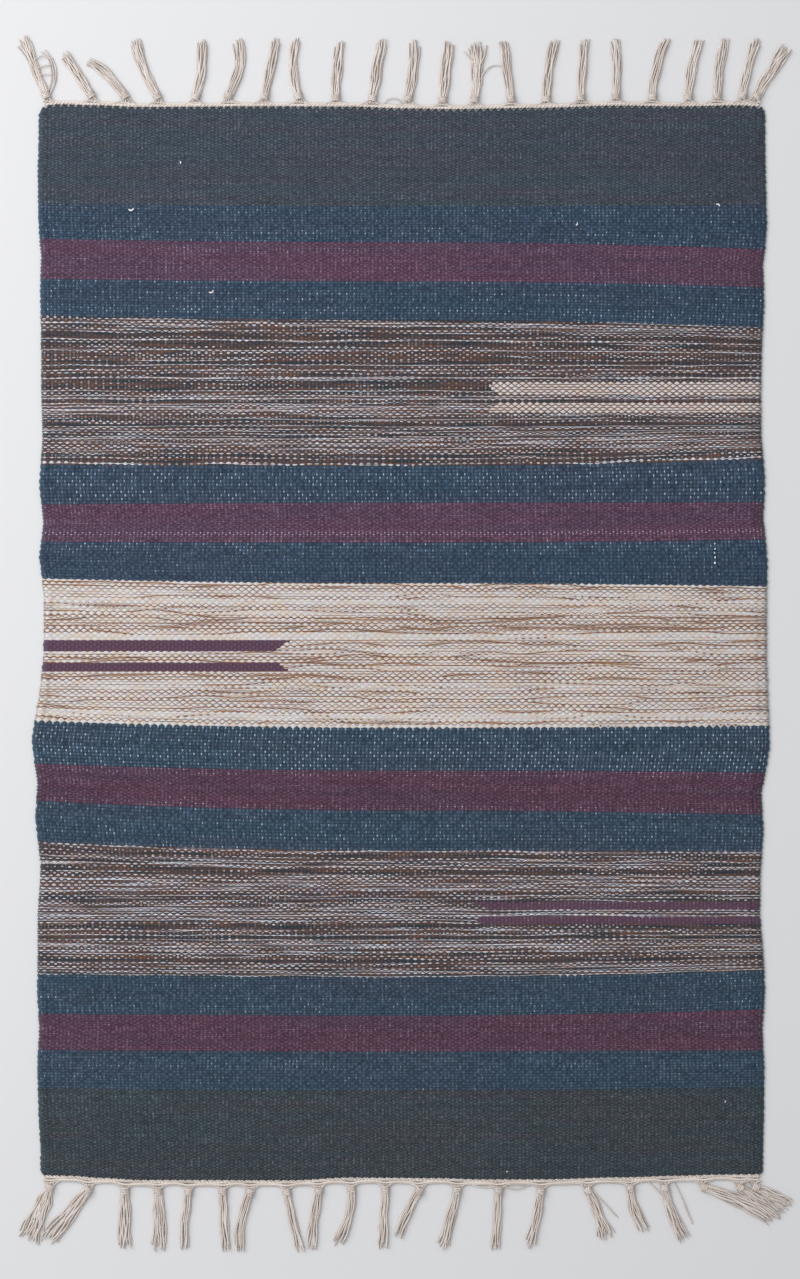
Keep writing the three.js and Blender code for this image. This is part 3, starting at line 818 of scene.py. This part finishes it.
    for name, value in (("fibre", fibre), ("blotch", blotch)):
        colour = shaded(colour, scaled(value, *weaveLook[name]))
    grain = addNode("ShaderNodeTexNoise", {"Vector": here, "Scale": scales["grain"], "Detail": 1.0})
    grain = vectorCalc("MULTIPLY_ADD", grain.outputs["Color"], (0.5, 0.5, 0.5), (0.75, 0.75, 0.75))
    colour = mixed(1.0, colour, grain, "MULTIPLY")

    # Painted shade in the groove beside the selvedge, which the bump also presses in, and a bluish tone painted
    # along the very edge
    fromSide = calc("MINIMUM", along, minus(float(rug["warps"]), along))
    groove = calc("ABSOLUTE", minus(fromSide, weaveLook["grooveAt"]))
    groove = times(ramped(groove, 1.0, 0.1), ramped(noise(here, scales["groove"]), 0.35, 0.65))
    # painted shade in the groove
    colour = shaded(colour, scaled(groove, *weaveLook["grooveShade"]))
    outermost = times(ramped(fromSide, 0.75, 0.2), weaveLook["outermostShare"])
    colour = mixed(outermost, colour, weaveLook["outermost"])
    height = scaled(groove, weaveLook["grooveDepth"], scaled(fibre, weaveLook["fibreHeight"], lump))
    finishMaterial(surface, colour, height, *weaveLook["bump"])
    return material


wovenCloth = makeObject("wovenCloth", wovenMesh())
wovenCloth.data.materials.append(fieldMaterial())
print("woven field", len(wovenCloth.data.vertices), "points")


# Yarns that follow a path

yarnTube = {"Step": 1.9 * mm, "Sides": 6, "Wobble": 0.9 * mm, "Wobble Scale": 120.0}
yarnLook = {
    "ply": (0.16, 0.88),         # painted shade of the twist: gained where a ply stands out, and the darker shade between the plies
    "fibre": (0.3, 0.85),
    "each": (0.16, 0.92),        # how much one yarn differs from the next
    "patches": 60.0,
    "paintedShade": (0.7, -0.15),        # painted shade low on the sides: how much a side faces up where it starts to darken, and where it ends
    # how strong the painted shade on the lower sides is, and its colour
    "paintedShadeShare": 0.42,
    "paintedShadeTone": linear(134, 110, 98),
    "fibreHeight": 0.4,      # of a ply's
    "bump": (0.8, 0.25 * mm),
}


def yarnTubeTree():
    # Turns chains of points, each with a thickness, into closed round yarns
    given, out = newGroup("yarnTubes", {
        "Geometry": "Geometry", "Step": 0.002, "Sides": 6, "Wobble": 0.0005, "Wobble Scale": 90.0,
        "Yarn": "Material"}, ["Geometry"], "Geometry", "Geometry")

    def made(kind, inputs=None, **settings):
        return addNode(kind, inputs, **settings).outputs[0]

    def named(name):
        return made("GeometryNodeInputNamedAttribute", {"Name": name}, data_type="FLOAT")

    def stored(geometry, name, value, kind="FLOAT"):
        return made("GeometryNodeStoreNamedAttribute", {"Geometry": geometry, "Name": name, "Value": value},
                    data_type=kind, domain="POINT")

    chains = made("GeometryNodeMeshToCurve", {"Mesh": given["Geometry"]})
    rounded = made("GeometryNodeCurveSplineType", {"Curve": chains}, spline_type="CATMULL_ROM")
    even = made("GeometryNodeResampleCurve", {"Curve": rounded, "Length": given["Step"]}, mode="LENGTH")

    # Each yarn wobbles to its sides in its own way
    here = made("GeometryNodeInputPosition")
    apart = vectorCalc("ADD", here, vector(0.0, 0.0, named("yarn")))
    texture = addNode("ShaderNodeTexNoise", {"Vector": apart, "Scale": given["Wobble Scale"]})
    centred = vectorCalc("SUBTRACT", texture.outputs["Color"], (0.5, 0.5, 0.5))
    offset = shaded(vectorCalc("MULTIPLY", centred, (1.0, 1.0, 0.0)), given["Wobble"])
    moved = made("GeometryNodeSetPosition", {"Geometry": even, "Offset": offset})

    length = addNode("GeometryNodeSplineParameter").outputs["Length"]
    circle = made("GeometryNodeCurvePrimitiveCircle", {"Resolution": given["Sides"], "Radius": 1.0},
                  mode="RADIUS")
    tube = made("GeometryNodeCurveToMesh", {
        "Curve": stored(moved, "alongYarn", length),
        "Profile Curve": stored(circle, "roundYarn", here, "FLOAT_VECTOR"),
        "Scale": named("thick"), "Fill Caps": True})
    # how far each side faces up, which the yarn material uses for its painted shade
    facing = parts(made("GeometryNodeInputNormal"))[2]
    smoothed = made("GeometryNodeSetShadeSmooth", {"Geometry": stored(tube, "upYarn", facing)})
    real = made("GeometryNodeRealizeInstances", {"Geometry": smoothed})
    dressed = made("GeometryNodeSetMaterial", {"Geometry": real, "Material": given["Yarn"]})
    return finishGroup(out, Geometry=dressed)


yarnTree = yarnTubeTree()


def yarnPiece(name, yarns, material, **changes):
    # A piece made of yarns: each is a list of (across, along, up, radius) in mm
    mesh = bpy.data.meshes.new(name + "Lines")
    points, edges, radii, numbers = [], [], [], []
    for number, yarn in enumerate(yarns):
        start = len(points)
        for across, along, up, radius in yarn:
            points.append(((across + shift[0]) * mm, (along + shift[1]) * mm, up * mm))
            radii.append(radius * mm)
            numbers.append(number * 0.37)
        edges += [(index, index + 1) for index in range(start, len(points) - 1)]
    mesh.from_pydata(points, edges, [])
    for label, values in (("thick", radii), ("yarn", numbers)):
        mesh.attributes.new(label, "FLOAT", "POINT").data.foreach_set("value", values)
    piece = makeObject(name, mesh)
    modifier = piece.modifiers.new("yarns", "NODES")
    modifier.node_group = yarnTree
    values = {**yarnTube, "Yarn": material, **changes}
    for item in yarnTree.interface.items_tree:
        if item.in_out == "INPUT" and item.name in values:
            modifier[item.identifier] = values[item.name]
    graph = bpy.context.evaluated_depsgraph_get()
    solid = bpy.data.meshes.new_from_object(piece.evaluated_get(graph))
    solid.name = name
    piece.modifiers.clear()
    piece.data = solid
    bpy.data.meshes.remove(mesh)
    print(name, len(yarns), "yarns,", len(solid.polygons), "faces")
    return piece


def yarnMaterial(name, colours, plies, pitch):
    # Pale cotton whose twist shows as bumps and painted shade between the plies, with painted shade low on its
    # sides where the next yarn lies
    material, surface, here = startMaterial(name, 0.92)
    along, number, facing = (addNode("ShaderNodeAttribute", attribute_name=label).outputs["Fac"]
                             for label in ("alongYarn", "yarn", "upYarn"))
    ring = addNode("ShaderNodeAttribute", attribute_name="roundYarn").outputs["Vector"]
    x, y, _ = parts(ring)
    angle = times(calc("ARCTAN2", y, x), plies / 2)
    ply = calc("ABSOLUTE", calc("SINE", scaled(along, 2 * math.pi / (pitch * mm), angle)))
    fibre = noise(here, 2200.0, 2.0, 0.6)
    patch = noise(vector(times(along, yarnLook["patches"]), number, 0.0))
    colour = mixed(ramped(patch, 0.35, 0.65), *colours)
    # the twist as painted shade between the plies, with fibre and a tone for each yarn
    for label, value in (("ply", ply), ("fibre", fibre), ("each", whiteNoise(number, 2.0, 0.0))):
        colour = shaded(colour, scaled(value, *yarnLook[label]))
    # painted shade on the sides that face down
    paintedShade = times(ramped(facing, *yarnLook["paintedShade"]), yarnLook["paintedShadeShare"])
    colour = mixed(paintedShade, colour, yarnLook["paintedShadeTone"])
    finishMaterial(surface, colour, scaled(fibre, yarnLook["fibreHeight"], ply), *yarnLook["bump"])
    return material


# End cords: a pair twined round the warps, and long strands beside it that the knots draw out

cordLook = {
    "ends": (-296.0, 295.5),
    "pairRadius": 0.72,
    "pairSwing": (0.85, 0.4),    # to its sides, and up
    "pairPitch": 6.12,       # two warps
    "pairSteps": 8,
    "pairPlace": {"far": (2.15, 1.05), "near": (1.75, 1.2)},     # away from the rim, and up
    "strandRadius": 0.92,
    "strandStep": 3.0,
    "strandHeight": 0.85,
    "strandSwing": 0.25,
    "strands": {"far": (2.6, 3.5), "near": (2.6, 3.6, 4.6)},
    "lifted": {("near", 1): 0.9},    # the near cord's second strand lies on the others
    "pullWidth": 5.5,
    "tube": {"Step": 0.9 * mm, "Wobble": 0.3 * mm},
    "colours": (linear(238, 230, 223), linear(228, 216, 206)),
}


def cordInner(side, across):
    return halfLength + float(readBow(side, across)) + rug["gap"]


def nearestKnot(side, across):
    return min(abs(row[0] - across) for row in tassels[side])


def cordOuter(side, across):
    reach = rug["knotAcross"] + rug["knotFade"] - nearestKnot(side, across)
    share = min(max(reach / rug["knotFade"], 0), 1)
    return cordInner(side, across) + rug["cordWidth"][side] + rug["knotPull"] * share


def cordYarns(side):
    draw = random.Random(21 if side == "far" else 22)
    left, right = cordLook["ends"]
    swing, lift = cordLook["pairSwing"]
    away, height = cordLook["pairPlace"][side]
    step = cordLook["pairPitch"] / cordLook["pairSteps"]
    yarns = []
    for phase in (0.0, math.pi):
        yarn = []
        for index in range(int((right - left) / step) + 1):
            across = left + index * step
            turn = 2 * math.pi * index / cordLook["pairSteps"] + phase
            out = cordInner(side, across) + away + swing * math.sin(turn)
            yarn.append((across, outward[side] * out, height + lift * math.cos(turn), cordLook["pairRadius"]))
        yarns.append(yarn)
    for order, offset in enumerate(cordLook["strands"][side]):
        wander = draw.uniform(0, 6)
        height = cordLook["strandHeight"] + cordLook["lifted"].get((side, order), 0)
        yarn = []
        across = left
        while across <= right:
            pull = rug["knotPull"] * math.exp(-(nearestKnot(side, across) / cordLook["pullWidth"]) ** 2) * order
            out = cordInner(side, across) + offset + pull
            out += cordLook["strandSwing"] * math.sin(across / 9 + wander)
            up = height + cordLook["strandSwing"] * math.sin(across / 7 + wander * 2)
            yarn.append((across, outward[side] * out, up, cordLook["strandRadius"]))
            across += cordLook["strandStep"]
        yarns.append(yarn)
    return yarns


cordMaterial = yarnMaterial("cordYarn", cordLook["colours"], 3, 5.0)
endCordFar = yarnPiece("endCordFar", cordYarns("far"), cordMaterial, **cordLook["tube"])
endCordNear = yarnPiece("endCordNear", cordYarns("near"), cordMaterial, **cordLook["tube"])


# Tassels

tasselLook = {
    "radius": (0.56, 0.74),
    "length": (0.88, 1.02),
    "flare": 0.7,
    "neck": 6.6,
    "spacing": 1.22,         # between the yarns of the lower layer
    "upperShare": 0.62,      # yarns of the upper layer, as a share of those of the lower one
    "upperWidth": 0.75,
    "upperHeight": 1.15,
    "neckHeight": 0.75,
    "sway": (0.07, 0.2),     # to the sides as a share of the width, and up
    "shares": (-0.03, 0.05, 0.16, 0.28, 0.4, 0.52, 0.64, 0.76, 0.88, 1.0),
    "taper": 0.75,           # thickness of a yarn at its tip
    "knotTurns": 3.3,
    "turnSteps": 10,
    "knotRadius": 0.72,
    "knotMiddle": (2.25, 1.45),  # its height, and how far the wraps go up and down from it
    "wrapInset": 0.85,
    "ties": (-1.0, -0.55, -0.2, 0.2, 0.55, 1.0),     # the warps that come to a knot, across it
    "tieReach": 9.0,         # how far beside the knot its warps leave the cord
    "tieStart": 0.9,         # how deep in the cord
    "tieBend": (0.45, 0.6),  # how near to its start a warp bends, across and along
    "tieEntry": (1.5, 2.0),  # where it enters the knot: behind its middle, and aside
    "tieHeights": (1.9, 1.5, 1.8, 2.2),
    "tieRadius": (0.42, 0.55),
    "tieEnd": 297,
    "colours": (linear(236, 227, 222), linear(218, 205, 196)),
}


def tasselCurve(side, row):
    # The line down the middle of a tassel, by the share of its length
    root, lean, reach, bow, rise = row[:5]
    slant = math.hypot(lean / 2 + 2 * bow, reach / 2 + 2 * rise)
    start = ((lean / 2 + 2 * bow) / slant, (reach / 2 + 2 * rise) / slant)
    room = rug["knotAlong"] * start[1] + rug["knotAcross"] * abs(start[0])
    origin = np.array([root, cordOuter(side, root) + rug["gap"] + room])
    tip = origin + (lean, reach)
    middle = (origin + tip) / 2 + (2 * bow, 2 * rise)

    def point(share):
        if share < 0:
            return origin + share * 2 * (middle - origin)
        return (1 - share) ** 2 * origin + 2 * share * (1 - share) * middle + share ** 2 * tip

    def sideways(share):
        share = max(share, 0)
        run = 2 * (1 - share) * (middle - origin) + 2 * share * (tip - middle)
        run = run / np.hypot(*run)
        return np.array([run[1], -run[0]])

    return point, sideways


def tasselYarns(side, row, draw):
    point, sideways = tasselCurve(side, row)
    middle, tip = row[5:7]
    lower = max(round((middle + tip) / 2 / tasselLook["spacing"]), 5)
    upper = round(lower * tasselLook["upperShare"])
    places = [(index / (lower - 1) - 0.5, 0) for index in range(lower)]
    places += [((index / (upper - 1) - 0.5) * tasselLook["upperWidth"], 1) for index in range(upper)]
    widths = [tasselLook["neck"], middle * 0.97, middle, tip]
    swing, lift = tasselLook["sway"]
    yarns = []
    for place, layer in places:
        radius = draw.uniform(*tasselLook["radius"])
        length = draw.uniform(*tasselLook["length"])
        flare = draw.gauss(0, tasselLook["flare"])
        turn = draw.uniform(0, 2 * math.pi)
        place += draw.uniform(-0.05, 0.05)
        yarn = []
        for share in tasselLook["shares"]:
            at = share * length if share > 0 else share
            width = float(np.interp(at, [0, 0.3, 0.6, 1], widths))
            sway = swing * math.sin(at * 11 + turn) * min(max(share, 0) * 4, 1)
            off = (place + sway) * (width - 2 * radius) + flare * max(share, 0) ** 2
            spot = point(at) + sideways(at) * off
            up = radius + layer * tasselLook["upperHeight"] + lift * math.sin(at * 15 + turn)
            up = max(up + (tasselLook["neckHeight"] if share < 0.1 else 0), radius)
            taper = 1.0 if share < 0.9 else tasselLook["taper"]
            yarn.append((spot[0], outward[side] * spot[1], up, radius * taper))
        yarns.append(yarn)
    return yarns


def knotYarns(side, row, draw):
    # The wraps of a knot, and the warps that come to it from the cord
    point, sideways = tasselCurve(side, row)
    knot, aside = point(0), sideways(0)
    forward = point(0.02) - knot
    forward = forward / np.hypot(*forward)
    middle, swing = tasselLook["knotMiddle"]
    steps = int(tasselLook["knotTurns"] * tasselLook["turnSteps"])
    radius = tasselLook["knotRadius"]
    width = rug["knotAcross"] - tasselLook["wrapInset"]
    wraps = []
    for index in range(steps + 1):
        turn = 2 * math.pi * index / tasselLook["turnSteps"]
        along = (index / steps - 0.5) * 2 * (rug["knotAlong"] - radius)
        spot = knot + forward * along + aside * width * math.cos(turn)
        wraps.append((spot[0], outward[side] * spot[1], middle + swing * math.sin(turn), radius))
    yarns = [wraps]
    behind, spread = tasselLook["tieEntry"]
    nearness = np.array(tasselLook["tieBend"])
    for reach in tasselLook["ties"]:
        across = row[0] + reach * tasselLook["tieReach"] * draw.uniform(0.7, 1.1)
        across = min(max(across, -tasselLook["tieEnd"]), tasselLook["tieEnd"])
        start = np.array([across, cordOuter(side, across) - tasselLook["tieStart"]])
        entry = knot - forward * behind + aside * reach * spread
        bend = start * nearness + entry * (1 - nearness)
        radius = draw.uniform(*tasselLook["tieRadius"])
        spots = (start, bend, entry, knot + aside * reach)
        yarns.append([(spot[0], outward[side] * spot[1], up, radius)
                      for spot, up in zip(spots, tasselLook["tieHeights"])])
    return yarns


def allTassels(side, seed):
    draw = random.Random(seed)
    yarns = []
    for row in tassels[side]:
        yarns += tasselYarns(side, row, draw)
        yarns += knotYarns(side, row, draw)
    return yarns


tasselMaterial = yarnMaterial("tasselYarn", tasselLook["colours"], 2, 4.0)
tasselsFar = yarnPiece("tasselsFar", allTassels("far", 31), tasselMaterial)
tasselsNear = yarnPiece("tasselsNear", allTassels("near", 32), tasselMaterial)


# Strands that have come away: (across, along) points, then the height of their middle
looseYarns = [
    ([(-293.3, 451.4), (-289.7, 459.2), (-288.3, 470.7), (-291.2, 483.6), (-296.2, 490.8)], 1.0),
    ([(-294.7, 452.1), (-291.9, 460.7), (-290.4, 471.4), (-293.3, 482.9), (-299.1, 489.3)], 0.9),
    ([(-291.9, 453.5), (-287.6, 464.3), (-286.8, 475.0), (-290.4, 485.0)], 0.8),
    ([(-306.3, 473.6), (-300.0, 476.4), (-290.4, 479.0)], 1.8),
    ([(-304.0, 468.5), (-298.0, 470.5), (-290.0, 470.2)], 1.9),
    ([(-305.5, 482.0), (-298.5, 486.0), (-290.5, 483.0)], 1.7),
    ([(-16.0, 445.6), (-11.7, 449.6), (-6.0, 450.6), (-1.0, 447.8)], 1.6),
    ([(60.0, 480.0), (55.8, 484.3), (50.8, 489.5)], 1.4),
    ([(62.0, 474.0), (66.5, 482.0), (69.0, 489.0)], 1.6),
    ([(63.5, 463.5), (68.8, 473.6), (75.8, 477.9), (83.0, 477.2)], 0.9),
    ([(225.3, -446.4), (232.4, -462.0), (240.3, -481.4)], 0.8),
    ([(203.7, -446.2), (215.1, -457.7), (221.0, -465.0)], 0.9),
    ([(156.3, -452.0), (168.0, -465.0), (178.5, -476.2)], 0.8),
    ([(48.6, -445.0), (60.0, -449.8), (71.5, -451.3), (83.0, -450.5), (94.5, -452.6), (106.0, -449.0)], 1.2),
]


looseLook = {"wave": 0.3, "radius": 0.5, "tube": {"Step": 1.2 * mm, "Wobble": 0.5 * mm}}

# Lint on the cloth: across, along, height of the cloth there, length, its turn in degrees, radius
lint = [
    (-157.5, 289.6, 3.3, 4.6, 20, 0.6), (-224.0, 357.6, 3.3, 5.0, 8, 0.7), (-183.1, 397.4, 2.9, 2.2, 100, 0.6),
    (261.9, 362.6, 3.3, 3.8, 150, 0.6), (145.0, 346.0, 3.3, 3.0, 60, 0.5), (259.0, 81.8, 3.3, 1.2, 80, 0.5),
    (259.2, 77.5, 3.3, 1.4, 95, 0.6), (258.8, 74.2, 3.3, 1.2, 85, 0.6), (259.1, 70.4, 3.3, 1.5, 88, 0.7),
    (259.0, 65.9, 3.3, 1.8, 92, 0.85), (87.0, -438.0, 2.9, 1.4, 30, 0.5), (267.7, -380.0, 2.9, 1.4, 70, 0.5),
]

lintLook = {
    "shares": (-0.5, -0.2, 0.1, 0.5),
    "curl": 60,              # degrees from end to end
    "colour": linear(240, 240, 243),
    "tube": {"Step": 0.5 * mm, "Wobble": 0.3 * mm},
}


def strandYarns():
    return [[(across, along, up + looseLook["wave"] * math.sin(index * 2.1), looseLook["radius"])
             for index, (across, along) in enumerate(places)] for places, up in looseYarns]


def lintCurls():
    curls = []
    for across, along, height, length, turn, radius in lint:
        curl = []
        for share in lintLook["shares"]:
            angle = math.radians(turn + lintLook["curl"] * share)
            curl.append((across + share * length * math.cos(angle), along + share * length * math.sin(angle),
                         height + radius, radius * (1.2 - abs(share))))
        curls.append(curl)
    return curls


lintMaterial = plainMaterial("lintFluff", lintLook["colour"], 0.95)
looseStrands = yarnPiece("looseStrands", strandYarns(), tasselMaterial, **looseLook["tube"])
lintBits = yarnPiece("lintBits", lintCurls(), lintMaterial, **lintLook["tube"])


# Studio

studio = {
    "floor": linear(228, 228, 230),
    "floorHalf": 6,
    "floorHeight": -0.3 * mm,
    "camera": (-1.7, 2.5, 2944.0),
    "lens": 100.0,
    "keyPower": 44.0,
    "keySize": 2.2,
    "keyPlace": (-1.5, 0.75, 1.7),
    "ambient": 0.53,
    "ambientColour": (0.98, 0.99, 1.0, 1.0),
}

half = studio["floorHalf"]
floorMesh = bpy.data.meshes.new("floor")
floorMesh.from_pydata([(-half, -half, 0), (half, -half, 0), (half, half, 0), (-half, half, 0)], [],
                      [(0, 1, 2, 3)])
floorMesh.materials.append(plainMaterial("paleFloor", studio["floor"], 0.8))
floor = makeObject("floor", floorMesh)
floor.location.z = studio["floorHeight"]

keyData = bpy.data.lights.new("key", "AREA")
keyData.energy = studio["keyPower"]
keyData.size = studio["keySize"]
key = makeObject("key", keyData)
key.location = studio["keyPlace"]
key.rotation_euler = Vector(studio["keyPlace"]).to_track_quat("Z", "Y").to_euler()     # faces the rug

world = bpy.data.worlds.new("studio")
world.use_nodes = True
ambient = world.node_tree.nodes["Background"].inputs
ambient[0].default_value = studio["ambientColour"]
ambient[1].default_value = studio["ambient"]
bpy.context.scene.world = world

cameraData = bpy.data.cameras.new("camera")
cameraData.lens = studio["lens"]
camera = makeObject("camera", cameraData)
across, along, up = studio["camera"]
camera.location = ((across + shift[0]) * mm, (along + shift[1]) * mm, up * mm)
bpy.context.scene.camera = camera
bpy.context.scene.view_settings.view_transform = "Standard"
print("studio and camera")

for piece, slot in ((wovenCloth, "field_yarn"), (endCordFar, "cord_yarn"), (endCordNear, "cord_yarn"),
                    (tasselsFar, "tassel_yarn"), (tasselsNear, "tassel_yarn"),
                    (looseStrands, "tassel_yarn"), (lintBits, "tassel_yarn")):
    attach(piece, "root")
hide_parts("woven_field")
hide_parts("end_cord_far")
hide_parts("end_cord_near")
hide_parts(*[f"tassel_far_{index:02d}" for index in range(1, 23)])
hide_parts(*[f"tassel_near_{index:02d}" for index in range(1, 22)])
